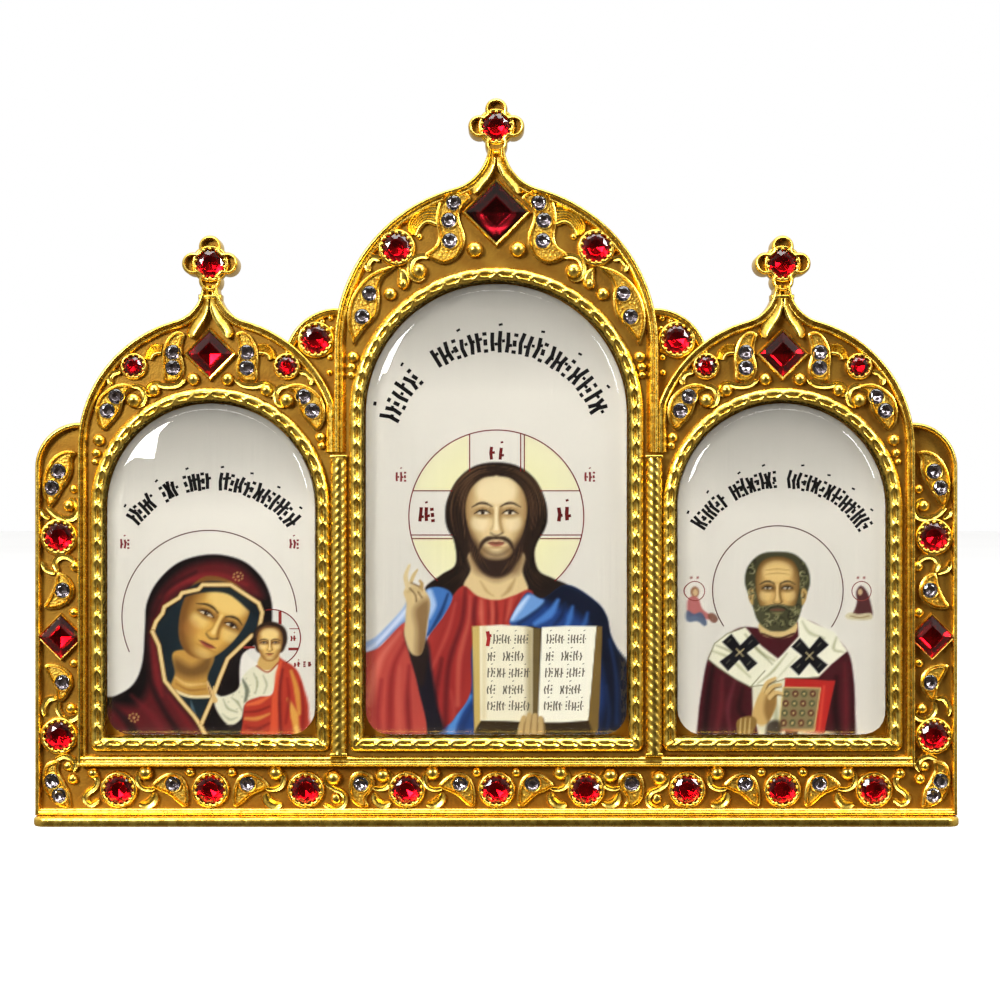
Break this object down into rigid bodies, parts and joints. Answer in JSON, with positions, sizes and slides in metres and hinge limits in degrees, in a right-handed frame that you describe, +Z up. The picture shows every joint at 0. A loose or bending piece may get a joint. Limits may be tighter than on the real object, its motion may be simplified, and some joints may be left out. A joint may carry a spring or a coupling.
{
  "type": "triptych altarpiece",
  "caption": "Gold-plated table triptych of three domed gables with crosses, three glazed arched icon pictures, red stones and clear crystals, standing upright on a flat foot.",
  "frame": {"origin": "middle of the foot's underside, which is the middle of the bounding box at its bottom", "axes": "+X to the viewer's right along the width, +Z up, and the pictured face looks along -Y"},
  "size_m": [0.1, 0.018, 0.0787],
  "materials": {
    "gold_plate": "polished relief on a satin ground",
    "printed_card": "colour print on silver foil",
    "clear_glass": "polished clear",
    "red_glass": "faceted and foil-backed"
  },
  "bodies": {
    "root": {"frame": "gold_plate", "left_picture": "printed_card", "centre_picture": "printed_card", "right_picture": "printed_card", "left_dome": "clear_glass", "centre_dome": "clear_glass", "right_dome": "clear_glass", "stone_centre_cross": "red_glass", "stone_centre_diamond": "red_glass", "stone_band_middle": "red_glass", "stone_left_cross": "red_glass", "stone_left_diamond": "red_glass", "stone_left_gable_outer": "red_glass", "stone_left_gable_inner": "red_glass", "stone_centre_gable_left": "red_glass", "stone_left_fan": "red_glass", "stone_left_wing_upper": "red_glass", "stone_left_wing_diamond": "red_glass", "stone_left_wing_lower": "red_glass", "stone_band_left_1": "red_glass", "stone_band_left_2": "red_glass", "stone_band_left_3": "red_glass", "stone_band_left_4": "red_glass", "stone_right_cross": "red_glass", "stone_right_diamond": "red_glass", "stone_right_gable_outer": "red_glass", "stone_right_gable_inner": "red_glass", "stone_centre_gable_right": "red_glass", "stone_right_fan": "red_glass", "stone_right_wing_upper": "red_glass", "stone_right_wing_diamond": "red_glass", "stone_right_wing_lower": "red_glass", "stone_band_right_1": "red_glass", "stone_band_right_2": "red_glass", "stone_band_right_3": "red_glass", "stone_band_right_4": "red_glass"}
  },
  "joints": []
}
